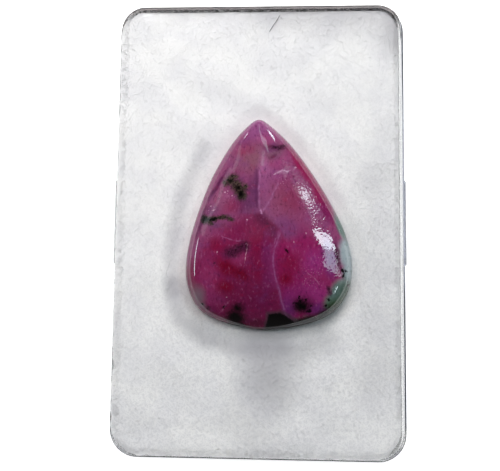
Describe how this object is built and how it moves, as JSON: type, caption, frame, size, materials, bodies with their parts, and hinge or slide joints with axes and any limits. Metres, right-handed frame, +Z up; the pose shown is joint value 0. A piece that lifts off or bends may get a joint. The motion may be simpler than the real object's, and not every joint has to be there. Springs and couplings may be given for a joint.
{
  "type": "ruby in zoisite cabochon in a display tray",
  "caption": "Pear-shaped polished ruby in zoisite cabochon lying on a white fibre pad in a small clear plastic tray with rounded corners.",
  "frame": {"origin": "middle of the tray's underside, on the surface that it stands on", "axes": "+Y along the tray towards the stone's tip, +X across the tray, +Z up"},
  "size_m": [0.0472, 0.073, 0.0171],
  "materials": {
    "clear_plastic": "gloss",
    "white_fibre": "matte",
    "polished_stone": "polished"
  },
  "bodies": {
    "root": {"clear_tray": "clear_plastic", "fibre_pad": "white_fibre", "ruby_in_zoisite": "polished_stone"}
  },
  "joints": []
}
